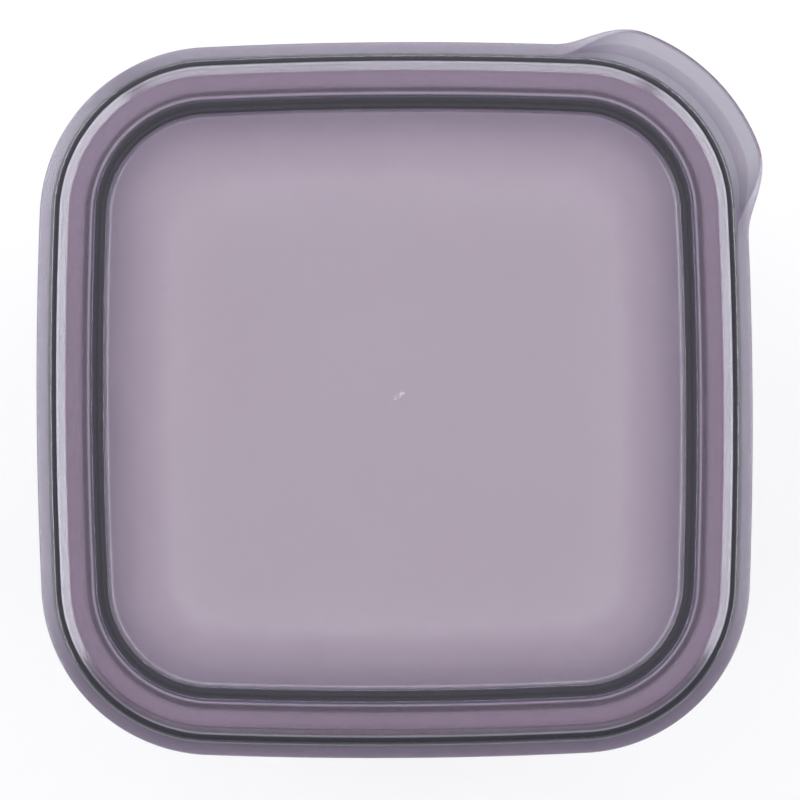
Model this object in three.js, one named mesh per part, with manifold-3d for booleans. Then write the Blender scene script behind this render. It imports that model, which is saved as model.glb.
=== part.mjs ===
// A square dry goods canister: a tapered see-through body and a press-on lid with a corner pull tab.
// Millimetres, +Z up. The origin is the middle of the base, on the surface that the canister stands on.
// Every section is drawn as insets, measured inwards from the outline of the lid's flange.

import * as THREE from "three";
import { mergeVertices } from "three/addons/utils/BufferGeometryUtils.js";
import Module from "manifold-3d";

// Overall sizes
const overallHeight = 140;
const lidWidth = 104;
const sideRadius = 632;
const cornerRadius = 25;

// Lid: flange, a thick band that slopes down to its edge
const flangeWidth = 2;
const flangeThickness = 3.8;
const flangeSlopeWidth = 1.8;
const flangeSlopeRise = 1.02;
const flangeCorner = 0.5;
const flangeBlend = 2;
const flangeFillet = 0.3;
const flangeEdge = 0.7;
const flangeLift = 0.25;
const flangeReliefWidth = 1.3;
const flangeRelief = 0.1;
const flangeReliefRun = 0.3;

// Lid: skirt, and the ledge, bevel and crown above it
const skirtDepth = 10.6;
const skirtWall = 1.3;
const skirtDraft = 0.1;
const skirtLeadIn = 0.4;
const ledgeWidth = 1.1;
const ledgeEdge = 0.65;
const ledgeFillet = 0.15;
const bevelWidth = 1.6;
const bevelRise = 1.2;
const bevelBlend = 1.3;
const crownThickness = 1.8;

// Lid: channel under the crown, which takes the body's rim
const channelBevelWidth = 1.3;
const channelBevelRise = 1;
const channelFillet = 0.4;
const plugRoot = 0.9;

// Lid: recessed panel, coved underneath, and the plug wall that carries it
const recessDepth = 5.2;
const recessDraft = 0.03;
const recessLip = 0.35;
const recessFillet = 0.4;
const panelThickness = 0.75;
const coveWidth = 8;
const coveDepth = 1.7;
const coveBlend = 30;
const coveRunOut = 4;
const plugWall = 1.85;
const plugDraft = 0.08;
const plugEdge = 0.6;
const sealRibHeight = 0.2;
const sealRibWidth = 1.4;
const sealRibLift = 1.2;
const ribRounding = 0.3;

// Lid: snap bead inside the skirt
const snapBeadHeight = 0.35;
const snapBeadWidth = 1.6;
const snapBeadLift = 1;

// Lid: pull tab, an arc of the flange that reaches further out, flat on top, and thins towards its tip
const tabReach = 3.6;
const tabFlat = 20.6;
const tabFlank = 12.4;
const tabSlopeWidth = 0.3;
const tabSlopeRise = 0.15;
const tabLift = 1.6;
const tabReliefWidth = 4.2;
const tabRelief = 0.7;
const tabReliefRun = 1.8;

// Body: heavy rim, whose sloped underside the bead snaps under, then wall and base
const rimThickness = 4.35;
const rimRounding = 0.8;
const rimEdge = 0.3;
const underRimSlope = 0.6;
const underRimRounding = 0.5;
const neckFillet = 0.5;
const bodyWall = 1.5;
const baseRadius = 3;
const footWidth = 2.6;
const footHeight = 1.2;
const footRounding = 0.4;
const footSlope = 3.5;
const footBlend = 4;
const footRunIn = 1;
const floorThickness = 2;
const floorRadius = 4.5;

// Gate marks, where the plastic entered each mould
const gateRadius = 1.15;
const gateDepth = 0.35;
const gateNubRadius = 0.5;
const gateNubHeight = 0.3;
const lidGateOffset = 0.4;

// Clearances
const seatGap = 0.3;
const bevelGap = 0.45;
const beadGap = 0.15;
const sealGap = 0.3;
const neckGap = 0.3;
const stackGap = 0.5;

// Facets along the outline, on the arcs of the sections and on the gate marks
const cornerSteps = 10;
const sideSteps = 4;
const flankSteps = 7;
const tabSteps = 7;
const chamfer = 1;
const smallArc = 2;
const edgeArc = 3;
const wideArc = 5;
const gateSteps = 16;
const gateArcSteps = 3;

// The arcs at the two ends of an edge together take at most this share of it
const roundingShare = 0.94;

// Forms of the flange's outer part: how far it reaches past the outline, its underside and its sloped top
const plainEdge = {
  reach: 0,
  lift: flangeLift,
  reliefWidth: flangeReliefWidth,
  relief: flangeRelief,
  reliefRun: flangeReliefRun,
  slopeWidth: flangeSlopeWidth,
  slopeRise: flangeSlopeRise,
};
const tabEdge = {
  reach: tabReach,
  lift: tabLift,
  reliefWidth: tabReliefWidth,
  relief: tabRelief,
  reliefRun: tabReliefRun,
  slopeWidth: tabSlopeWidth,
  slopeRise: tabSlopeRise,
};

// Levels of the lid
const channelRoof = overallHeight - crownThickness;
const panelTop = overallHeight - recessDepth;
const panelBottom = panelTop - panelThickness;
const plugBottom = panelBottom - coveDepth;
const ledgeLevel = overallHeight - bevelRise;
const channelBevelFoot = channelRoof - channelBevelRise;
const skirtBottom = overallHeight - skirtDepth;
const flangeTop = skirtBottom + flangeThickness;
const sealRibLevel = panelTop + sealRibLift;
const snapBeadBottom = skirtBottom + snapBeadLift;
const snapBeadTop = snapBeadBottom + snapBeadWidth;

// Insets, worked out from the skirt inwards so that the lid's channel always takes the body's rim
const skirtInside = flangeWidth + skirtWall;
const skirtHead = flangeWidth + skirtDraft;
const bevelFoot = skirtHead + ledgeWidth;
const snapBeadTip = skirtInside + snapBeadHeight;
const rimOutside = snapBeadTip + beadGap;
const rimInside = rimOutside + rimThickness;
const wallOutside = rimInside - bodyWall;
const sealRibTip = rimInside + sealGap;
const plugFace = (level) => sealRibTip + sealRibHeight + plugDraft * (sealRibLevel - level);
const recessFace = (level) => plugFace(overallHeight) + plugWall + recessDraft * (overallHeight - level);
const baseInset = recessFace(panelTop) + stackGap;
const footInside = baseInset + baseRadius + footWidth;

// Levels of the body
const rimTop = channelRoof - seatGap;
const underRimLevel = snapBeadTop + neckGap;
const neckLevel = underRimLevel - underRimSlope * (wallOutside - rimOutside);
const floorLevel = footHeight + floorThickness;

// Ends of the rim's chamfer, which runs alongside the channel's bevel
const channelBevelSlope = channelBevelRise / channelBevelWidth;
const rimChamferFoot = channelBevelFoot + channelBevelSlope * (rimOutside - skirtInside) - bevelGap;
const rimChamferHead = rimOutside + (rimTop - rimChamferFoot) / channelBevelSlope;

// Outline of the flange: four bowed sides and four tangent corner arcs
const halfWidth = lidWidth / 2;
const sideCentre = halfWidth - sideRadius;
const centreDistance = sideRadius - cornerRadius;
const cornerCentre = (sideCentre + Math.sqrt(2 * centreDistance ** 2 - sideCentre ** 2)) / 2;
const sideAngle = Math.asin(cornerCentre / centreDistance);
const cornerLength = cornerRadius * (Math.PI / 2 - 2 * sideAngle);
const sideLength = 2 * sideRadius * sideAngle;
const quarterLength = cornerLength + sideLength;
const flankStart = tabFlat / 2;
const flankEnd = flankStart + tabFlank;

// How much of the tab there is at a distance along the outline: all on its arc, none past its flanks.
function tabShare(distance) {
  const away = Math.abs(distance);
  if (away <= flankStart) return 1;
  if (away >= flankEnd) return 0;
  return (1 + Math.cos((Math.PI * (away - flankStart)) / tabFlank)) / 2;
}

// The outline's point and outward direction, at a distance anticlockwise from the middle of the tab's corner.
function outlineAt(distance) {
  const quarter = Math.round(distance / quarterLength);
  const along = distance - quarter * quarterLength;
  const past = Math.abs(along) - cornerLength / 2;
  let centre = new THREE.Vector2(cornerCentre, cornerCentre);
  let radius = cornerRadius;
  let angle = Math.PI / 4 + along / cornerRadius;
  if (past > 0) {
    const turn = past / sideRadius;
    const upper = along > 0;
    centre = upper ? new THREE.Vector2(0, sideCentre) : new THREE.Vector2(sideCentre, 0);
    radius = sideRadius;
    angle = upper ? Math.PI / 2 - sideAngle + turn : sideAngle - turn;
  }
  const middle = new THREE.Vector2(0, 0);
  const normal = new THREE.Vector2(Math.cos(angle), Math.sin(angle));
  const point = centre.addScaledVector(normal, radius);
  const turned = (quarter * Math.PI) / 2;
  point.rotateAround(middle, turned);
  normal.rotateAround(middle, turned);
  return { point, normal, tab: tabShare(distance) };
}

// Stations round the outline: close together on the tab's flanks and the corners, sparse along the sides.
function outlineStations() {
  const stations = [];
  const addSpan = (from, to, steps) => {
    for (let i = 0; i < steps; i += 1) {
      stations.push(outlineAt(from + ((to - from) * i) / steps));
    }
  };
  addSpan(-flankEnd, -flankStart, flankSteps);
  addSpan(-flankStart, flankStart, tabSteps);
  addSpan(flankStart, flankEnd, flankSteps);
  const quarters = 4;
  let sideStart = flankEnd;
  for (let quarter = 1; quarter < quarters; quarter += 1) {
    const cornerStart = quarter * quarterLength - cornerLength / 2;
    const cornerEnd = cornerStart + cornerLength;
    addSpan(sideStart, cornerStart, sideSteps);
    addSpan(cornerStart, cornerEnd, cornerSteps);
    sideStart = cornerEnd;
  }
  addSpan(sideStart, quarters * quarterLength - flankEnd, sideSteps);
  return stations;
}

// One corner of a section: its inset and level, and the radius and facets of its rounding.
function corner(inset, level, radius = 0, steps = chamfer) {
  return { at: new THREE.Vector2(inset, level), radius, steps };
}

// Rounds each corner of a section that has a radius with an arc tangent to both its edges.
// Where the two arcs of an edge want more than their share of it, both shrink by the same factor.
function roundSection(corners) {
  const bends = corners.map(({ at, radius }, i) => {
    if (radius === 0) return { tangent: 0 };
    const toLast = corners[i - 1].at.clone().sub(at).normalize();
    const toNext = corners[i + 1].at.clone().sub(at).normalize();
    const halfAngle = Math.acos(THREE.MathUtils.clamp(toLast.dot(toNext), -1, 1)) / 2;
    return { toLast, toNext, halfAngle, tangent: radius / Math.tan(halfAngle) };
  });
  const edgeFactor = (i) => {
    const room = roundingShare * corners[i].at.distanceTo(corners[i + 1].at);
    return Math.min(1, room / (bends[i].tangent + bends[i + 1].tangent));
  };
  const points = [];
  corners.forEach(({ at, radius, steps }, i) => {
    if (radius === 0) {
      points.push(at);
      return;
    }
    const { toLast, toNext, halfAngle } = bends[i];
    const tangent = bends[i].tangent * Math.min(edgeFactor(i - 1), edgeFactor(i));
    const start = at.clone().addScaledVector(toLast, tangent);
    const towardsCentre = toLast.clone().add(toNext).normalize();
    const centre = at.clone().addScaledVector(towardsCentre, tangent / Math.cos(halfAngle));
    const sweep = Math.sign(toNext.cross(toLast)) * (Math.PI - 2 * halfAngle);
    for (let step = 0; step <= steps; step += 1) {
      points.push(start.clone().rotateAround(centre, (sweep * step) / steps));
    }
  });
  return points;
}

// Lid section, from the middle of the panel's underside round to the middle of its top.
function lidSection(edge) {
  const coveFoot = plugFace(plugBottom);
  const coveHead = coveFoot + coveWidth;
  const ribBottom = sealRibLevel - sealRibWidth / 2;
  const ribTop = sealRibLevel + sealRibWidth / 2;
  const slopeFoot = flangeTop - edge.slopeRise;
  const slopeHead = edge.slopeWidth - edge.reach;
  const reliefFoot = edge.reliefWidth - edge.reach;
  const reliefHead = reliefFoot - edge.reliefRun;
  const underside = skirtBottom + edge.lift;
  const tipUnderside = underside + edge.relief;
  return roundSection([
    corner(coveHead + coveRunOut, panelBottom),
    corner(coveHead, panelBottom, coveBlend, edgeArc),
    corner(coveFoot, plugBottom, plugEdge, smallArc),
    corner(plugFace(ribBottom), ribBottom),
    corner(sealRibTip, sealRibLevel, ribRounding, smallArc),
    corner(plugFace(ribTop), ribTop),
    corner(plugFace(channelRoof), channelRoof, plugRoot, smallArc),
    corner(skirtInside + channelBevelWidth, channelRoof, channelFillet),
    corner(skirtInside, channelBevelFoot, channelFillet),
    corner(skirtInside, snapBeadTop),
    corner(snapBeadTip, (snapBeadTop + snapBeadBottom) / 2, ribRounding, smallArc),
    corner(skirtInside, snapBeadBottom),
    corner(skirtInside, skirtBottom, skirtLeadIn),
    corner(flangeWidth, underside),
    corner(reliefFoot, underside),
    corner(reliefHead, tipUnderside),
    corner(-edge.reach, tipUnderside, flangeEdge, smallArc),
    corner(-edge.reach, slopeFoot, flangeCorner, smallArc),
    corner(slopeHead, flangeTop, flangeBlend, smallArc),
    corner(flangeWidth, flangeTop, flangeFillet),
    corner(skirtHead, ledgeLevel, ledgeEdge, smallArc),
    corner(bevelFoot, ledgeLevel, ledgeFillet),
    corner(bevelFoot + bevelWidth, overallHeight, bevelBlend, edgeArc),
    corner(recessFace(overallHeight), overallHeight, recessLip, smallArc),
    corner(recessFace(panelTop), panelTop, recessFillet, smallArc),
    corner(recessFace(panelTop) + 2 * recessFillet, panelTop),
  ]);
}

// Body section, from the middle of the base's underside, up the outside and down the inside to the floor.
function bodySection() {
  const floorEdge = baseInset + bodyWall;
  return roundSection([
    corner(footInside + footSlope + footRunIn, footHeight),
    corner(footInside + footSlope, footHeight, footBlend, smallArc),
    corner(footInside, 0, footRounding, smallArc),
    corner(baseInset, 0, baseRadius, wideArc),
    corner(wallOutside, neckLevel, neckFillet),
    corner(rimOutside, underRimLevel, underRimRounding, smallArc),
    corner(rimOutside, rimChamferFoot, rimEdge),
    corner(rimChamferHead, rimTop, rimEdge),
    corner(rimInside, rimTop, rimRounding, edgeArc),
    corner(rimInside, neckLevel, neckFillet),
    corner(floorEdge, floorLevel, floorRadius, wideArc),
    corner(floorEdge + 2 * floorRadius, floorLevel),
  ]);
}

// Carries a section round the outline and closes it at the middle of its first and last levels.
// At each station the section is blended towards the tab's own section by the share of tab there.
function loftRound(stations, section, tabSection = section) {
  const rows = section.length;
  const positions = [];
  const triangles = [];
  stations.forEach(({ point, normal, tab }) => {
    section.forEach((plain, row) => {
      const blended = plain.clone().lerp(tabSection[row], tab);
      const placed = point.clone().addScaledVector(normal, -blended.x);
      positions.push(placed.x, placed.y, blended.y);
    });
  });
  const firstMiddle = positions.length / 3;
  const lastMiddle = firstMiddle + 1;
  positions.push(0, 0, section[0].y, 0, 0, section[rows - 1].y);
  stations.forEach((_, i) => {
    const here = i * rows;
    const next = ((i + 1) % stations.length) * rows;
    for (let row = 0; row < rows - 1; row += 1) {
      triangles.push(here + row, next + row, next + row + 1);
      triangles.push(here + row, next + row + 1, here + row + 1);
    }
    triangles.push(firstMiddle, next, here);
    triangles.push(lastMiddle, here + rows - 1, next + rows - 1);
  });
  const geometry = new THREE.BufferGeometry();
  geometry.setAttribute("position", new THREE.Float32BufferAttribute(positions, 3));
  geometry.setIndex(triangles);
  return geometry;
}

// Joins and cuts work on solids whose shared corners are merged and whose empty triangles are dropped.
const wasm = await Module();
wasm.setup();

function toSolid(geometry) {
  const bare = geometry.clone();
  bare.deleteAttribute("normal");
  bare.deleteAttribute("uv");
  const merged = mergeVertices(bare);
  const index = merged.index.array;
  const triVerts = [];
  for (let i = 0; i < index.length; i += 3) {
    const [a, b, c] = [index[i], index[i + 1], index[i + 2]];
    if (a !== b && b !== c && c !== a) triVerts.push(a, b, c);
  }
  const vertProperties = new Float32Array(merged.attributes.position.array);
  const mesh = new wasm.Mesh({ numProp: 3, vertProperties, triVerts: new Uint32Array(triVerts) });
  return new wasm.Manifold(mesh);
}

function toGeometry(solid) {
  const { vertProperties, triVerts } = solid.getMesh();
  const geometry = new THREE.BufferGeometry();
  geometry.setAttribute("position", new THREE.BufferAttribute(vertProperties, 3));
  geometry.setIndex(new THREE.BufferAttribute(triVerts, 1));
  geometry.computeVertexNormals();
  return geometry;
}

// A low dome that stands on the plane z = 0 and goes on below it by its own height.
function dome(radius, height) {
  const curvature = (radius ** 2 + height ** 2) / (2 * height);
  const halfAngle = Math.asin(radius / curvature);
  const profile = [new THREE.Vector2(0, -height), new THREE.Vector2(radius, -height)];
  for (let step = 0; step < gateArcSteps; step += 1) {
    const angle = halfAngle * (1 - step / gateArcSteps);
    const level = curvature * (Math.cos(angle) - 1) + height;
    profile.push(new THREE.Vector2(curvature * Math.sin(angle), level));
  }
  profile.push(new THREE.Vector2(0, height));
  return new THREE.LatheGeometry(profile, gateSteps).rotateX(Math.PI / 2);
}

// A gate mark near the middle of a flat face: a shallow dimple with the nub of the runner inside it.
function withGateMark(geometry, offset, level, facesUp) {
  const dimple = dome(gateRadius, gateDepth);
  const nub = dome(gateNubRadius, gateNubHeight);
  if (facesUp) {
    dimple.rotateX(Math.PI);
  } else {
    nub.rotateX(Math.PI);
  }
  const inwards = facesUp ? -1 : 1;
  dimple.translate(offset, offset, level);
  nub.translate(offset, offset, level + inwards * gateDepth);
  return toGeometry(toSolid(geometry).subtract(toSolid(dimple)).add(toSolid(nub)));
}

const stations = outlineStations();

const bodyPlastic = new THREE.MeshStandardMaterial({
  name: "clear_mauve_polypropylene",
  color: "#a596ac",
  roughness: 0.2,
  metalness: 0,
  transparent: true,
  opacity: 0.55,
});

const lidPlastic = new THREE.MeshStandardMaterial({
  name: "smoky_lavender_polypropylene",
  color: "#a7a1b1",
  roughness: 0.3,
  metalness: 0,
  transparent: true,
  opacity: 0.7,
});

const bodyLoft = loftRound(stations, bodySection());
const body = new THREE.Mesh(withGateMark(bodyLoft, 0, footHeight, false), bodyPlastic);
body.name = "canister_body";

const lidLoft = loftRound(stations, lidSection(plainEdge), lidSection(tabEdge));
const lid = new THREE.Mesh(withGateMark(lidLoft, lidGateOffset, panelTop, true), lidPlastic);
lid.name = "lid";

const canister = new THREE.Group();
canister.name = "dry_goods_canister";
canister.add(body, lid);

export default canister;
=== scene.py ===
"""Dry goods canister: a tapered, see-through body under a press-on lid with a corner pull tab.

Both pieces are one-shot mouldings. Every section of theirs is a list of corners, each an inset (inwards from
the outline of the lid's flange) and a level (above the base), rounded with tangent arcs and carried round one
outline. Sizes are in millimetres and the meshes in metres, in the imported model's own frame, +Z up.
"""

from __future__ import annotations

import logging
import math
from dataclasses import dataclass, field
from enum import Enum
from typing import Any, Sequence

import bpy
import numpy as np
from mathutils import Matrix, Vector
from numpy.typing import NDArray


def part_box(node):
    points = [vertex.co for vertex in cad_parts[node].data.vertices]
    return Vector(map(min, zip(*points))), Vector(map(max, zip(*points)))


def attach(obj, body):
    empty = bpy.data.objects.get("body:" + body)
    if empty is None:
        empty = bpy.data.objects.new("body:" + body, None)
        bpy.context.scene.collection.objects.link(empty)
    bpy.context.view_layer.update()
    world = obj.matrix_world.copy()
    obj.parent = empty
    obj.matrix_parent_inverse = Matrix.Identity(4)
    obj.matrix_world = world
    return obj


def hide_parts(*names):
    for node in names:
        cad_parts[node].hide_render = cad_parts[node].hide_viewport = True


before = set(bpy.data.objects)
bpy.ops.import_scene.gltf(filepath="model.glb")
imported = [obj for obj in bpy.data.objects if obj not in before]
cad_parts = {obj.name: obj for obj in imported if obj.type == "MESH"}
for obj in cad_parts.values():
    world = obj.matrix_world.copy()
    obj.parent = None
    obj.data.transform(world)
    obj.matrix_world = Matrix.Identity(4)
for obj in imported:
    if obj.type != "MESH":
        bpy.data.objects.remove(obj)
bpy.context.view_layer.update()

Grid = NDArray[np.float64]
Link = tuple[bpy.types.Node, str]

LOG = logging.getLogger("dry_goods_canister")
MM = 0.001
QUARTER_TURN = math.pi / 2
MIX_FIRST_COLOUR, MIX_SECOND_COLOUR = 6, 7


def linear(hex_colour: str) -> tuple[float, float, float, float]:
    """Turns an sRGB hex colour into linear light.

    Args:
        hex_colour: A colour such as "#a7a1b1".

    Returns:
        Linear red, green and blue, and an alpha of 1.
    """
    shares = np.array([int(hex_colour[i:i + 2], 16) for i in (1, 3, 5)]) / 255.0
    light = np.where(shares <= 0.04045, shares / 12.92, ((shares + 0.055) / 1.055) ** 2.4)
    return (float(light[0]), float(light[1]), float(light[2]), 1.0)


def add_node(
    tree: bpy.types.NodeTree,
    kind: str,
    settings: dict[str | int, Any] | None = None,
    links: dict[str | int, Link] | None = None,
) -> bpy.types.Node:
    """Adds a node, sets it and links it.

    Args:
        tree: The node tree that the node goes into.
        kind: The node's type name.
        settings: Values by input socket name or number, or by the node's own property name.
        links: For an input socket, the node and output socket that feed it.

    Returns:
        The new node.
    """
    node = tree.nodes.new(kind)
    for key, value in (settings or {}).items():
        if isinstance(key, str) and hasattr(node, key):
            setattr(node, key, value)
        else:
            node.inputs[key].default_value = value
    for key, (source, output) in (links or {}).items():
        tree.links.new(source.outputs[output], node.inputs[key])
    return node


class Face(Enum):
    """Which way a flat middle of a moulding faces."""

    UP = 1.0
    DOWN = -1.0


@dataclass(frozen=True)
class Stations:
    """Points along the outline, with what a section needs to know at each."""

    points: Grid
    normals: Grid
    tab: Grid


@dataclass(frozen=True)
class Outline:
    """Outline of the lid's flange: four bowed sides joined by tangent corner arcs, and the pull tab's arc."""

    half_width: float
    side_radius: float = 632.0
    corner_radius: float = 25.0
    tab_flat: float = 20.6
    tab_flank: float = 12.4
    spacing: float = 0.85

    @property
    def side_centre(self) -> float:
        """Where the centre of a side's arc lies, across the axis from that side."""
        return self.half_width - self.side_radius

    @property
    def corner_centre(self) -> float:
        """Both coordinates of a corner arc's centre, which lets it touch the arcs of its two sides."""
        reach = self.side_radius - self.corner_radius
        return (self.side_centre + math.sqrt(2 * reach ** 2 - self.side_centre ** 2)) / 2

    @property
    def side_angle(self) -> float:
        """Half the angle that a side's arc turns through."""
        return math.asin(self.corner_centre / (self.side_radius - self.corner_radius))

    @property
    def corner_length(self) -> float:
        """Length of one corner arc."""
        return self.corner_radius * (QUARTER_TURN - 2 * self.side_angle)

    @property
    def quarter_length(self) -> float:
        """Length of one corner arc and one side."""
        return self.corner_length + 2 * self.side_radius * self.side_angle

    def tab_share(self, distance: Grid) -> Grid:
        """Gives how much of the tab there is: 1 on its arc, 0 past its flanks, half a cosine wave between.

        Args:
            distance: Distances along the outline from the middle of the tab's corner.

        Returns:
            The share of the tab at each distance.
        """
        away = np.clip((np.abs(distance) - self.tab_flat / 2) / self.tab_flank, 0.0, 1.0)
        return (1 + np.cos(np.pi * away)) / 2

    def stations(self) -> Stations:
        """Spaces points evenly along the outline, anticlockwise.

        A point is an arc's centre plus its radius along the arc's outward direction. The arc is a corner's
        within half a corner length of the corner's middle, and a side's beyond that. Each quarter is the
        first one turned by a right angle.

        Returns:
            The points, outward directions and tab shares.
        """
        count = 4 * round(self.quarter_length / self.spacing)
        whole = 4 * self.quarter_length
        distance = (np.arange(count) / count - 0.5) * whole
        quarter = np.round(distance / self.quarter_length)
        along = distance - quarter * self.quarter_length
        past = np.abs(along) - self.corner_length / 2
        on_side, upper = past > 0, along > 0
        turn = past / self.side_radius
        side_direction = np.where(upper, QUARTER_TURN - self.side_angle + turn, self.side_angle - turn)
        angle = np.where(on_side, side_direction, QUARTER_TURN / 2 + along / self.corner_radius)
        angle += quarter * QUARTER_TURN
        normals = np.stack([np.cos(angle), np.sin(angle)], axis=1)
        radius = np.where(on_side, self.side_radius, self.corner_radius)
        centre_x = np.where(on_side, np.where(upper, 0.0, self.side_centre), self.corner_centre)
        centre_y = np.where(on_side, np.where(upper, self.side_centre, 0.0), self.corner_centre)
        cos, sin = np.cos(quarter * QUARTER_TURN), np.sin(quarter * QUARTER_TURN)
        centres = np.stack([centre_x * cos - centre_y * sin, centre_x * sin + centre_y * cos], axis=1)
        return Stations(centres + radius[:, None] * normals, normals, self.tab_share(distance))


@dataclass(frozen=True)
class Corner:
    """A corner of a section: its place, the radius and facets of its arc, and the rows on the run after it."""

    inset: float
    level: float
    radius: float = 0.08
    steps: int = 2
    runs: int = 1


def section_rows(corners: Sequence[Corner]) -> Grid:
    """Rounds a section's corners and lists it as rows.

    An arc's tangent length is its radius over the tangent of half the corner's angle. Where the two arcs of
    an edge need more than nearly all of it, both shrink by the same factor. Rows stand close beside each arc,
    so that a flat run next to it shades flat.

    Args:
        corners: The section's corners in order. The first and last aren't rounded.

    Returns:
        Insets and levels, one row each.
    """
    share, support, support_share = 0.94, 0.06, 0.25
    at = np.array([(c.inset, c.level) for c in corners])
    edges = np.diff(at, axis=0)
    lengths = np.linalg.norm(edges, axis=1)
    ways = edges / lengths[:, None]
    cosines = np.sum(-ways[:-1] * ways[1:], axis=1)
    half_angles = np.arccos(np.clip(cosines, -1.0, 1.0)) / 2
    radii = np.array([c.radius for c in corners[1:-1]])
    wanted = np.concatenate([[0.0], radii / np.tan(half_angles), [0.0]])
    factors = np.minimum(1.0, share * lengths / (wanted[:-1] + wanted[1:]))
    tangents = wanted * np.concatenate([[1.0], np.minimum(factors[:-1], factors[1:]), [1.0]])
    beside = np.minimum(support, support_share * (lengths - tangents[:-1] - tangents[1:]))
    rows = [at[:1]]
    for i, corner in enumerate(corners[1:-1], start=1):
        back, on = -ways[i - 1], ways[i]
        start = at[i] + tangents[i] * back
        middle = (back + on) / np.linalg.norm(back + on)
        centre = at[i] + middle * tangents[i] / math.cos(half_angles[i - 1])
        sweep = np.sign(back[1] * on[0] - back[0] * on[1]) * (np.pi - 2 * half_angles[i - 1])
        angles = sweep * np.arange(corner.steps + 1) / corner.steps
        arm = start - centre
        cos, sin = np.cos(angles), np.sin(angles)
        arc = centre + np.stack([arm[0] * cos - arm[1] * sin, arm[0] * sin + arm[1] * cos], axis=1)
        before = (start + back * beside[i - 1])[None]
        after = (at[i] + on * (tangents[i] + beside[i]))[None]
        free = lengths[i] - tangents[i] - tangents[i + 1] - 2 * beside[i]
        stretch = after + on * (free * np.arange(1, corner.runs) / corner.runs)[:, None]
        rows += [before, arc, after, stretch]
    return np.concatenate(rows + [at[-1:]])


@dataclass(frozen=True)
class GateMark:
    """The mark left where plastic entered the mould: a round dimple with the stub of the runner inside it.

    Twisting the runner off leaves a low hooked burr, an arc about a point beside the dimple's middle. It
    fades out over an end share of the way from each end of the arc to the arc's middle.
    """

    x: float
    y: float
    radius: float = 1.15
    depth: float = 0.35
    nub_radius: float = 0.5
    nub_height: float = 0.3
    burr_height: float = 0.0
    burr_width: float = 0.2
    burr_radius: float = 1.1
    burr_centre: tuple[float, float] = (-0.3, 0.6)
    burr_degrees: tuple[float, float] = (-115.0, 25.0)
    burr_end_share: float = 0.5

    def burr(self, across: Grid, along: Grid) -> Grid:
        """Gives the burr's height: a bell curve across its arc, which fades out at both ends of the arc.

        Args:
            across: Distances from the mark's middle along X.
            along: Distances from the mark's middle along Y.

        Returns:
            Heights along the face's outward direction.
        """
        right, up = across - self.burr_centre[0], along - self.burr_centre[1]
        aside = (np.hypot(right, up) - self.burr_radius) / self.burr_width
        middle = math.radians(sum(self.burr_degrees) / 2)
        half = math.radians(self.burr_degrees[1] - self.burr_degrees[0]) / 2
        turn = np.abs(np.angle(np.exp(1j * (np.arctan2(up, right) - middle)))) / half
        fade = np.clip((1 - turn) / self.burr_end_share, 0.0, 1.0)
        return self.burr_height * np.exp(-aside ** 2) * fade

    def relief(self, across: Grid, along: Grid) -> Grid:
        """Gives the mark's height: each of dimple and nub is half a cosine wave of the distance.

        Args:
            across: Distances from the mark's middle along X.
            along: Distances from the mark's middle along Y.

        Returns:
            Heights along the face's outward direction, negative in the dimple.
        """
        distance = np.hypot(across, along)
        dimple = (1 + np.cos(np.pi * np.clip(distance / self.radius, 0.0, 1.0))) / 2
        nub = (1 + np.cos(np.pi * np.clip(distance / self.nub_radius, 0.0, 1.0))) / 2
        return self.nub_height * nub - self.depth * dimple + self.burr(across, along)


@dataclass(frozen=True)
class Middle:
    """The flat middle of a moulding, inside the first or last row of its section."""

    face: Face
    gate: GateMark | None = None
    wide_rings: int = 10
    wide_power: float = 1.5
    gate_rings: int = 24
    gate_reach: float = 1.5
    plain_rings: int = 3

    def ring_counts(self) -> tuple[int, int]:
        """Counts of wide rings and of gate rings: a few of each where the middle has no mark."""
        return (self.wide_rings, self.gate_rings) if self.gate else (self.plain_rings, self.plain_rings)

    def rings(self, edge: Grid) -> Grid:
        """Closes an edge ring towards the gate mark.

        A ring's point lies on the straight line from the pole to the edge's point. Wide rings shrink the
        edge's own shape, blending it to a circle, and crowd towards the gate by a power of their even share.
        The gate's rings are circles out to a multiple of the mark's radius.

        Args:
            edge: The edge ring's points.

        Returns:
            Rings from the edge inwards, each with as many points as the edge, and last the pole, repeated.
        """
        mark = self.gate or GateMark(0.0, 0.0, depth=0.0, nub_height=0.0)
        pole = np.array([mark.x, mark.y])
        arms = edge[:, :2] - pole
        reach = np.linalg.norm(arms, axis=1)
        gate_reach = self.gate_reach * mark.radius
        wide_rings, gate_rings = self.ring_counts()
        wide = np.linspace(1.0, 0.0, wide_rings + 1)[1:, None]
        near = np.linspace(1.0, 0.0, gate_rings + 1)[1:, None]
        wide_reach = gate_reach + (reach - gate_reach)[None] * wide ** self.wide_power
        reaches = np.concatenate([wide_reach, gate_reach * near * np.ones_like(reach)])
        spots = pole + (arms / reach[:, None])[None] * reaches[:, :, None]
        relief = mark.relief(*np.moveaxis(spots - pole, 2, 0))
        levels = edge[:, 2][None] + self.face.value * relief
        return np.concatenate([spots, levels[:, :, None]], axis=2)


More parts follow.
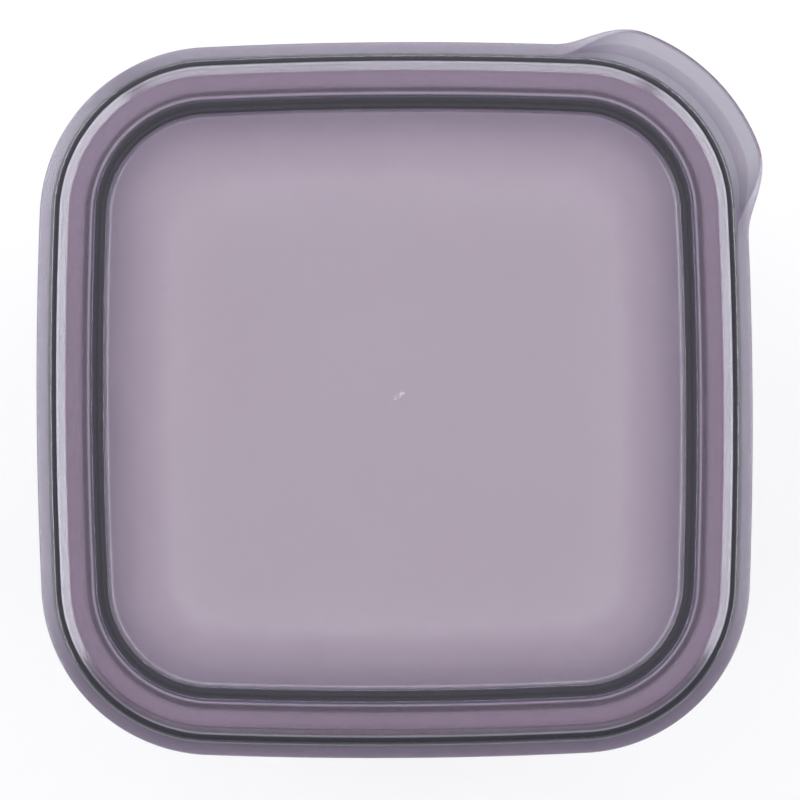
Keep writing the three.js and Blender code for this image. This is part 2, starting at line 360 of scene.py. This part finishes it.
def closed_grid(lower: Grid, sides: Grid, upper: Grid) -> tuple[Grid, list[list[int]]]:
    """Joins a lower middle, a side grid and an upper middle into one closed surface.

    Args:
        lower: Rings of the lower middle, from its edge to its pole.
        sides: The section's rows at every station, as rows of points.
        upper: Rings of the upper middle, from its edge to its pole.

    Returns:
        The vertices, and the faces as lists of vertex numbers, pointing outwards.
    """
    rings = np.concatenate([lower[-2::-1], sides, upper[:-1]])
    rows, count = rings.shape[:2]
    number = np.arange(rows * count).reshape(rows, count)
    beyond = np.roll(number, -1, axis=1)
    quads = np.stack([number[:-1], beyond[:-1], beyond[1:], number[1:]], axis=2).reshape(-1, 4)
    low_pole, high_pole = rows * count, rows * count + 1
    low_fan = np.stack([np.full(count, low_pole), beyond[0], number[0]], axis=1)
    high_fan = np.stack([np.full(count, high_pole), number[-1], beyond[-1]], axis=1)
    vertices = np.concatenate([rings.reshape(-1, 3), lower[-1, :1], upper[-1, :1]])
    return vertices, quads.tolist() + low_fan.tolist() + high_fan.tolist()


def smooth_object(name: str, vertices: Grid, faces: list[list[int]]) -> bpy.types.Object:
    """Makes a smooth-shaded mesh object at the origin.

    Args:
        name: The object's name.
        vertices: Points in millimetres.
        faces: Vertex numbers of each face.

    Returns:
        The new object, linked to the scene.
    """
    mesh = bpy.data.meshes.new(name)
    mesh.from_pydata((vertices * MM).tolist(), [], faces)
    mesh.polygons.foreach_set("use_smooth", np.ones(len(faces), dtype=bool))
    mesh.update()
    thing = bpy.data.objects.new(name, mesh)
    bpy.context.scene.collection.objects.link(thing)
    return thing


@dataclass(frozen=True)
class TintedPlastic:
    """Injection-moulded tinted polypropylene: clear enough to see through, a little milky, satin on top.

    The melt clouds slightly as it flows, so the tint varies over tens of millimetres. The mould's polish
    leaves a faint grain, and handling leaves patches that shine a little less. Thick paths go dark.
    """

    name: str
    clear: str
    cloudy: str
    absorbs: str
    absorption_per_mm: float
    roughness: float
    rubbed_roughness: float
    see_through: float
    grain_depth_mm: float
    cloud_mm: float = 34.0
    cloud_detail: float = 3.0
    cloud_distortion: float = 0.6
    rub_mm: float = 11.0
    rub_detail: float = 5.0
    rub_range: tuple[float, float] = (0.35, 0.7)
    # Polishing marks in the mould are some hundredths of a millimetre wide: drawn coarser, so that they show.
    grain_mm: float = 0.7
    grain_detail: float = 2.0
    ior: float = 1.49

    def material(self) -> bpy.types.Material:
        """Builds the node material.

        Returns:
            The new material.
        """
        material = bpy.data.materials.new(self.name)
        material.use_nodes = True
        tree = material.node_tree
        tree.nodes.clear()
        place = add_node(tree, "ShaderNodeTexCoord")
        here = {"Vector": (place, "Object")}
        cloud = add_node(
            tree,
            "ShaderNodeTexNoise",
            {
                "Scale": 1 / (self.cloud_mm * MM),
                "Detail": self.cloud_detail,
                "Distortion": self.cloud_distortion,
            },
            here,
        )
        tint = add_node(
            tree,
            "ShaderNodeMix",
            {
                "data_type": "RGBA",
                MIX_FIRST_COLOUR: linear(self.clear),
                MIX_SECOND_COLOUR: linear(self.cloudy),
            },
            {"Factor": (cloud, "Fac")},
        )
        rub = add_node(
            tree, "ShaderNodeTexNoise", {"Scale": 1 / (self.rub_mm * MM), "Detail": self.rub_detail}, here
        )
        shine = add_node(
            tree,
            "ShaderNodeMapRange",
            {
                "From Min": self.rub_range[0],
                "From Max": self.rub_range[1],
                "To Min": self.roughness,
                "To Max": self.rubbed_roughness,
            },
            {"Value": (rub, "Fac")},
        )
        grain = add_node(
            tree, "ShaderNodeTexNoise", {"Scale": 1 / (self.grain_mm * MM), "Detail": self.grain_detail}, here
        )
        bump = add_node(
            tree,
            "ShaderNodeBump",
            {"Strength": 1.0, "Distance": self.grain_depth_mm * MM},
            {"Height": (grain, "Fac")},
        )
        plastic = add_node(
            tree,
            "ShaderNodeBsdfPrincipled",
            {"IOR": self.ior, "Transmission Weight": self.see_through},
            {"Base Color": (tint, "Result"), "Roughness": (shine, "Result"), "Normal": (bump, "Normal")},
        )
        depth = add_node(
            tree,
            "ShaderNodeVolumeAbsorption",
            {"Color": linear(self.absorbs), "Density": self.absorption_per_mm / MM},
        )
        add_node(
            tree, "ShaderNodeOutputMaterial", links={"Surface": (plastic, "BSDF"), "Volume": (depth, "Volume")}
        )
        return material


# Pigmented polypropylene from a mould with a fine satin polish: smoky lavender where it is thin, dark where the
# light has a long way through it, with soft-edged highlights and a slight haze over what lies behind.
LID_PLASTIC = TintedPlastic(
    name="smoky_lavender_polypropylene_satin_moulded",
    clear="#fdfbff",
    cloudy="#f9f7fb",
    absorbs="#c5c2cd",
    absorption_per_mm=1.0,
    roughness=0.2,
    rubbed_roughness=0.255,
    see_through=0.95,
    grain_depth_mm=0.0006,
)

# Clarified polypropylene from a polished mould: nearly clear, with a mauve cast that each wall adds to, and
# crisp highlights along its edges.
BODY_PLASTIC = TintedPlastic(
    name="clear_mauve_polypropylene_gloss_moulded",
    clear="#fcf1fa",
    cloudy="#f7e9f3",
    absorbs="#bfacbf",
    absorption_per_mm=0.018,
    roughness=0.05,
    rubbed_roughness=0.08,
    see_through=0.97,
    grain_depth_mm=0.0004,
)


@dataclass(frozen=True)
class FlangeEdge:
    """The outer part of the flange: its reach past the outline, its underside's lifts and its top's slope."""

    reach: float
    lift: float
    relief_width: float
    relief: float
    relief_run: float
    slope_width: float
    slope_rise: float


@dataclass(frozen=True)
class Lid:
    """The press-on lid: flange with pull tab, skirt, rim channel, plug wall and recessed panel."""

    outline: Outline
    top: float
    flange_bottom: float
    plastic: TintedPlastic = LID_PLASTIC
    flange_width: float = 2.0
    flange_thickness: float = 3.8
    flange_edge: float = 0.7
    plain_edge: FlangeEdge = FlangeEdge(
        reach=0.0, lift=0.25, relief_width=1.3, relief=0.1, relief_run=0.3, slope_width=1.8, slope_rise=1.02
    )
    tab_edge: FlangeEdge = FlangeEdge(
        reach=3.57, lift=1.6, relief_width=4.17, relief=0.7, relief_run=1.8, slope_width=0.3, slope_rise=0.15
    )
    flange_corner: float = 0.5
    flange_blend: float = 2.0
    flange_fillet: float = 0.3
    skirt_wall: float = 1.3
    skirt_draft: float = 0.1
    skirt_lead_in: float = 0.4
    ledge_width: float = 1.1
    ledge_edge: float = 0.85
    ledge_fillet: float = 0.15
    bevel_width: float = 1.6
    bevel_rise: float = 1.2
    bevel_blend: float = 1.3
    crown_thickness: float = 1.8
    channel_bevel_width: float = 1.3
    channel_bevel_rise: float = 1.0
    channel_fillet: float = 0.4
    plug_root: float = 0.9
    recess_depth: float = 5.2
    recess_draft: float = 0.03
    recess_lip: float = 0.35
    recess_fillet: float = 0.4
    recess_run_out: float = 0.8
    cove_width: float = 8.0
    cove_depth: float = 1.7
    cove_blend: float = 30.0
    cove_run_out: float = 4.0
    panel_thickness: float = 0.75
    plug_wall: float = 1.85
    plug_draft: float = 0.08
    plug_edge: float = 0.6
    seal_rib_height: float = 0.2
    seal_rib_width: float = 1.4
    seal_rib_lift: float = 1.2
    rib_rounding: float = 0.3
    snap_bead_height: float = 0.35
    snap_bead_width: float = 1.6
    snap_bead_lift: float = 1.0
    rim_thickness: float = 4.35
    bead_gap: float = 0.15
    seal_gap: float = 0.3
    seat_gap: float = 0.3
    bevel_gap: float = 0.45
    gate: GateMark = field(default=GateMark(0.4, 0.4, burr_height=0.25))

    @property
    def panel_top(self) -> float:
        """Level of the recessed panel's top."""
        return self.top - self.recess_depth

    @property
    def widest_level(self) -> float:
        """Highest level at which the flange is at its full width."""
        return self.flange_bottom + self.flange_thickness - self.plain_edge.slope_rise

    @property
    def channel_roof(self) -> float:
        """Level of the roof of the channel that takes the body's rim."""
        return self.top - self.crown_thickness

    @property
    def skirt_inside(self) -> float:
        """Inset of the skirt's inner face."""
        return self.flange_width + self.skirt_wall

    @property
    def rim_outside(self) -> float:
        """Inset of the outside of the body's rim, just clear of the snap bead."""
        return self.skirt_inside + self.snap_bead_height + self.bead_gap

    @property
    def rim_inside(self) -> float:
        """Inset of the inside of the body's rim."""
        return self.rim_outside + self.rim_thickness

    @property
    def seal_level(self) -> float:
        """Level of the sealing rib's tip."""
        return self.panel_top + self.seal_rib_lift

    @property
    def channel_bevel_foot(self) -> float:
        """Level where the channel's bevel leaves the skirt."""
        return self.channel_roof - self.channel_bevel_rise

    @property
    def channel_bevel_slope(self) -> float:
        """Rise of the channel's bevel over its run."""
        return self.channel_bevel_rise / self.channel_bevel_width

    def plug_face(self, level: float) -> float:
        """Inset of the plug wall's outer face, which leans inwards as it goes down, at a level."""
        rib_root = self.rim_inside + self.seal_gap + self.seal_rib_height
        return rib_root + self.plug_draft * (self.seal_level - level)

    def recess_face(self, level: float) -> float:
        """Inset of the recess's wall, which leans inwards a little as it goes down, at a level."""
        return self.plug_face(self.top) + self.plug_wall + self.recess_draft * (self.top - level)

    def section(self, edge: FlangeEdge) -> Grid:
        """Lists the section from the panel's underside, round the channel and flange, to the panel's top.

        Args:
            edge: The form of the flange's outer part.

        Returns:
            The section's rows.
        """
        panel_bottom = self.panel_top - self.panel_thickness
        plug_bottom = panel_bottom - self.cove_depth
        cove_foot = self.plug_face(plug_bottom)
        cove_head = cove_foot + self.cove_width
        rib_bottom = self.seal_level - self.seal_rib_width / 2
        rib_top = self.seal_level + self.seal_rib_width / 2
        rib_tip = self.rim_inside + self.seal_gap
        bead_bottom = self.flange_bottom + self.snap_bead_lift
        bead_top = bead_bottom + self.snap_bead_width
        bead_tip = self.skirt_inside + self.snap_bead_height
        flange_top = self.flange_bottom + self.flange_thickness
        under = self.flange_bottom + edge.lift
        ledge_level = self.top - self.bevel_rise
        bevel_foot = self.flange_width + self.skirt_draft + self.ledge_width
        recess_foot = self.recess_face(self.panel_top)
        return section_rows([
            Corner(cove_head + self.cove_run_out, panel_bottom),
            Corner(cove_head, panel_bottom, self.cove_blend, 10),
            Corner(cove_foot, plug_bottom, self.plug_edge, 6),
            Corner(self.plug_face(rib_bottom), rib_bottom),
            Corner(rib_tip, self.seal_level, self.rib_rounding, 5),
            Corner(self.plug_face(rib_top), rib_top),
            Corner(self.plug_face(self.channel_roof), self.channel_roof, self.plug_root, 8),
            Corner(self.skirt_inside + self.channel_bevel_width, self.channel_roof, self.channel_fillet, 4),
            Corner(self.skirt_inside, self.channel_bevel_foot, self.channel_fillet, 4),
            Corner(self.skirt_inside, bead_top),
            Corner(bead_tip, (bead_top + bead_bottom) / 2, self.rib_rounding, 5),
            Corner(self.skirt_inside, bead_bottom),
            Corner(self.skirt_inside, self.flange_bottom, self.skirt_lead_in, 3),
            Corner(self.flange_width, under, self.flange_fillet, 4),
            Corner(edge.relief_width - edge.reach, under),
            Corner(edge.relief_width - edge.relief_run - edge.reach, under + edge.relief),
            Corner(-edge.reach, under + edge.relief, self.flange_edge, 5),
            Corner(-edge.reach, flange_top - edge.slope_rise, self.flange_corner, 8),
            Corner(edge.slope_width - edge.reach, flange_top, self.flange_blend, 5),
            Corner(self.flange_width, flange_top, self.flange_fillet, 5),
            Corner(self.flange_width + self.skirt_draft, ledge_level, self.ledge_edge, 6),
            Corner(bevel_foot, ledge_level, self.ledge_fillet, 3),
            Corner(bevel_foot + self.bevel_width, self.top, self.bevel_blend, 10),
            Corner(self.recess_face(self.top), self.top, self.recess_lip, 7),
            Corner(recess_foot, self.panel_top, self.recess_fillet, 6),
            Corner(recess_foot + self.recess_run_out, self.panel_top),
        ])

    def build(self) -> bpy.types.Object:
        """Lofts the lid, blending its plain section into the tab's by the tab's share at each station.

        Returns:
            The lid, dressed and riding on its body.
        """
        stations = self.outline.stations()
        plain, tabbed = self.section(self.plain_edge), self.section(self.tab_edge)
        rows = plain[:, None] + stations.tab[None, :, None] * (tabbed - plain)[:, None]
        spots = stations.points[None] - rows[:, :, :1] * stations.normals[None]
        sides = np.concatenate([spots, rows[:, :, 1:]], axis=2)
        lower = Middle(Face.DOWN).rings(sides[0])
        upper = Middle(Face.UP, self.gate).rings(sides[-1])
        lid = smooth_object("lid_moulding", *closed_grid(lower, sides, upper))
        lid.data.materials.append(self.plastic.material())
        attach(lid, "lid")
        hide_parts("lid")
        return lid


@dataclass(frozen=True)
class CanisterBody:
    """The tapered body: heavy rim, whose sloped underside the lid's bead snaps under, walls, floor and foot."""

    lid: Lid
    plastic: TintedPlastic = BODY_PLASTIC
    rim_rounding: float = 0.8
    rim_edge: float = 0.3
    bead_slope: float = 0.6
    bead_rounding: float = 0.5
    neck_fillet: float = 0.5
    neck_gap: float = 0.3
    wall: float = 1.5
    base_radius: float = 3.0
    foot_width: float = 2.6
    foot_height: float = 1.2
    foot_rounding: float = 0.4
    foot_slope: float = 3.5
    foot_blend: float = 4.0
    foot_run_in: float = 1.0
    floor_thickness: float = 2.0
    floor_radius: float = 4.5
    floor_run_out: float = 9.0
    stack_gap: float = 0.5
    gate: GateMark = field(default=GateMark(0.0, 0.0))

    def section(self) -> Grid:
        """Lists the section from the base's underside, up the outside and down the inside to the floor.

        Returns:
            The section's rows.
        """
        lid = self.lid
        base = lid.recess_face(lid.panel_top) + self.stack_gap
        foot = base + self.base_radius + self.foot_width
        floor_level = self.foot_height + self.floor_thickness
        rim_top = lid.channel_roof - lid.seat_gap
        wall_outside = lid.rim_inside - self.wall
        bead_level = lid.flange_bottom + lid.snap_bead_lift + lid.snap_bead_width + self.neck_gap
        neck_level = bead_level - self.bead_slope * (wall_outside - lid.rim_outside)
        chamfer_rise = lid.channel_bevel_slope * (lid.rim_outside - lid.skirt_inside)
        chamfer_foot = lid.channel_bevel_foot + chamfer_rise - lid.bevel_gap
        chamfer_head = lid.rim_outside + (rim_top - chamfer_foot) / lid.channel_bevel_slope
        return section_rows([
            Corner(foot + self.foot_slope + self.foot_run_in, self.foot_height),
            Corner(foot + self.foot_slope, self.foot_height, self.foot_blend, 6),
            Corner(foot, 0.0, self.foot_rounding, 4),
            Corner(base, 0.0, self.base_radius, 12, runs=12),
            Corner(wall_outside, neck_level, self.neck_fillet, 5),
            Corner(lid.rim_outside, bead_level, self.bead_rounding, 5),
            Corner(lid.rim_outside, chamfer_foot, self.rim_edge, 5),
            Corner(chamfer_head, rim_top, self.rim_edge, 5),
            Corner(lid.rim_inside, rim_top, self.rim_rounding, 8),
            Corner(lid.rim_inside, neck_level, self.neck_fillet, 3, runs=12),
            Corner(base + self.wall, floor_level, self.floor_radius, 16),
            Corner(base + self.wall + self.floor_run_out, floor_level),
        ])

    def build(self) -> bpy.types.Object:
        """Lofts the body.

        Returns:
            The body, dressed and riding on its body of the frame.
        """
        stations = self.lid.outline.stations()
        rows = self.section()
        spots = stations.points[None] - rows[:, None, :1] * stations.normals[None]
        levels = np.broadcast_to(rows[:, None, 1:], spots[:, :, :1].shape)
        sides = np.concatenate([spots, levels], axis=2)
        lower = Middle(Face.DOWN, self.gate).rings(sides[0])
        upper = Middle(Face.UP).rings(sides[-1])
        body = smooth_object("canister_body_moulding", *closed_grid(lower, sides, upper))
        body.data.materials.append(self.plastic.material())
        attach(body, "canister")
        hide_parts("canister_body")
        return body


@dataclass(frozen=True)
class Softbox:
    """A rectangular studio lamp that points at the canister.

    It lights the pieces and shows in their gloss, and isn't seen straight or through the plastic.
    """

    name: str
    place: tuple[float, float, float]
    size: tuple[float, float]
    radiance: float
    white: str = "#f5f6ff"
    aim: tuple[float, float, float] = (0.0, 0.0, 0.1)

    def build(self) -> bpy.types.Object:
        """Adds the lamp. Its power is its radiance times its area times pi.

        Returns:
            The lamp.
        """
        lamp = bpy.data.lights.new(self.name, "AREA")
        lamp.shape = "RECTANGLE"
        lamp.size, lamp.size_y = self.size
        lamp.energy = self.radiance * self.size[0] * self.size[1] * math.pi
        lamp.color = linear(self.white)[:3]
        thing = bpy.data.objects.new(self.name, lamp)
        thing.location = self.place
        way = Vector(self.aim) - Vector(self.place)
        thing.rotation_euler = way.to_track_quat("-Z", "Y").to_euler()
        thing.visible_camera = False
        thing.visible_transmission = False
        bpy.context.scene.collection.objects.link(thing)
        return thing


@dataclass(frozen=True)
class Studio:
    """A white paper floor, softboxes at both sides and behind, a weak one in front, and a camera above."""

    outline: Outline
    outline_level: float
    photo_pixels: float = 800.0
    outline_pixels: float = 716.5
    middle_right_pixels: float = -4.8
    middle_up_pixels: float = 0.3
    roll_degrees: float = -0.32
    camera_height: float = 0.95
    camera_front: float = 0.016
    camera_sight: float = 20.0
    sensor_mm: float = 36.0
    light_bounces: int = 24
    floor_half: float = 1.0
    floor_white: str = "#f6f6f6"
    floor_glow: float = 0.7
    world_grey: str = "#faf9fc"
    world_strength: float = 0.15
    wall_degrees: tuple[float, float] = (8.0, 14.0)
    softboxes: tuple[Softbox, ...] = (
        Softbox("softbox_left", (-0.85, 0.2, 0.40), (1.6, 0.30), 10.5),
        Softbox("softbox_right", (0.85, 0.2, 0.39), (1.6, 0.28), 9.8),
        Softbox("softbox_back", (0.0, 0.95, 0.42), (1.0, 0.30), 7.2),
        Softbox("softbox_front", (0.0, -0.95, 0.40), (1.0, 0.20), 1.0),
    )

    def camera(self) -> bpy.types.Object:
        """Adds the camera, which sees the flange's outline at the size and place that the photograph has it.

        It stands a little in front of the middle and leans by the angle whose tangent is that over its
        height, so that it still looks at the middle. Its focal length over the sensor's width is its height
        over the width that the picture shows.

        Returns:
            The camera.
        """
        scale = 2 * self.outline.half_width * MM / self.outline_pixels
        lens = bpy.data.cameras.new("photo_camera")
        lens.sensor_width = self.sensor_mm
        lens.lens = self.sensor_mm * self.camera_height / (self.photo_pixels * scale)
        lens.clip_end = self.camera_sight
        camera = bpy.data.objects.new("photo_camera", lens)
        aside, up = -self.middle_right_pixels * scale, -self.middle_up_pixels * scale
        camera.location = (aside, up - self.camera_front, self.outline_level * MM + self.camera_height)
        tilt = math.atan(self.camera_front / self.camera_height)
        camera.rotation_euler = (tilt, 0.0, math.radians(self.roll_degrees))
        bpy.context.scene.collection.objects.link(camera)
        bpy.context.scene.camera = camera
        return camera

    def floor(self) -> bpy.types.Object:
        """Adds the floor. Where it is looked at, straight or through plastic, most of it is plain white.

        Returns:
            The floor.
        """
        half = self.floor_half / MM
        corners = np.array([[-half, -half, 0.0], [half, -half, 0.0], [half, half, 0.0], [-half, half, 0.0]])
        floor = smooth_object("paper_sweep", corners, [[0, 1, 2, 3]])
        paper = bpy.data.materials.new("white_paper_sweep")
        paper.use_nodes = True
        tree = paper.node_tree
        tree.nodes.clear()
        share = add_node(
            tree, "ShaderNodeMath", {"operation": "MULTIPLY", 1: self.floor_glow}, {0: self.looked_at(tree)}
        )
        matt = add_node(tree, "ShaderNodeBsdfDiffuse", {"Color": linear(self.floor_white)})
        white = add_node(tree, "ShaderNodeEmission", {"Strength": 1.0})
        mixed = add_node(
            tree, "ShaderNodeMixShader", links={0: (share, "Value"), 1: (matt, "BSDF"), 2: (white, "Emission")}
        )
        add_node(tree, "ShaderNodeOutputMaterial", links={"Surface": (mixed, "Shader")})
        floor.data.materials.append(paper)
        return floor

    @staticmethod
    def looked_at(tree: bpy.types.NodeTree) -> Link:
        """Adds nodes that tell a ray that looks, straight, in gloss or through plastic, from one that lights.

        Args:
            tree: The node tree that the nodes go into.

        Returns:
            The node and output socket, which give 1 for a ray that looks and 0 for one that lights.
        """
        ray = add_node(tree, "ShaderNodeLightPath")
        seen = add_node(
            tree,
            "ShaderNodeMath",
            {"operation": "MAXIMUM"},
            {0: (ray, "Is Camera Ray"), 1: (ray, "Is Glossy Ray")},
        )
        both = add_node(
            tree,
            "ShaderNodeMath",
            {"operation": "MAXIMUM"},
            {0: (seen, "Value"), 1: (ray, "Is Transmission Ray")},
        )
        return both, "Value"

    def world(self) -> None:
        """Fills the room with an even, dim white, and gives it a low white wall where it is looked at.

        The wall is full up to the first of its angles above the horizon, and fades out by the second.
        """
        world = bpy.data.worlds.new("studio_room")
        world.use_nodes = True
        tree = world.node_tree
        tree.nodes.clear()
        way = add_node(tree, "ShaderNodeTexCoord")
        parts = add_node(tree, "ShaderNodeSeparateXYZ", links={"Vector": (way, "Generated")})
        full, none = (math.sin(math.radians(angle)) for angle in self.wall_degrees)
        wall = add_node(
            tree,
            "ShaderNodeMapRange",
            {"From Min": full, "From Max": none, "To Min": 1.0, "To Max": 0.0},
            {"Value": (parts, "Z")},
        )
        share = add_node(
            tree, "ShaderNodeMath", {"operation": "MULTIPLY"}, {0: (wall, "Result"), 1: self.looked_at(tree)}
        )
        strength = add_node(
            tree,
            "ShaderNodeMapRange",
            {"To Min": self.world_strength, "To Max": 1.0},
            {"Value": (share, "Value")},
        )
        room = add_node(
            tree,
            "ShaderNodeBackground",
            {"Color": linear(self.world_grey)},
            {"Strength": (strength, "Result")},
        )
        add_node(tree, "ShaderNodeOutputWorld", links={"Surface": (room, "Background")})
        bpy.context.scene.world = world

    def build(self) -> None:
        """Adds the camera, floor, room light and lamps."""
        self.camera()
        self.floor()
        self.world()
        for softbox in self.softboxes:
            softbox.build()
        scene = bpy.context.scene
        scene.view_settings.view_transform = "Standard"
        scene.cycles.max_bounces = self.light_bounces
        scene.cycles.transmission_bounces = self.light_bounces
        scene.cycles.glossy_bounces = self.light_bounces


def main() -> None:
    """Builds the studio, the lid and the body, in that order, and reports each."""
    logging.basicConfig(level=logging.INFO, format="%(name)s: %(message)s")
    low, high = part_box("lid")
    outline = Outline(half_width=-low.x / MM)
    lid = Lid(outline, top=high.z / MM, flange_bottom=low.z / MM)
    studio = Studio(outline, lid.widest_level)
    studio.build()
    for piece in (lid.build(), CanisterBody(lid).build()):
        LOG.info("%s has %d faces", piece.name, len(piece.data.polygons))


if __name__ == "__main__":
    main()
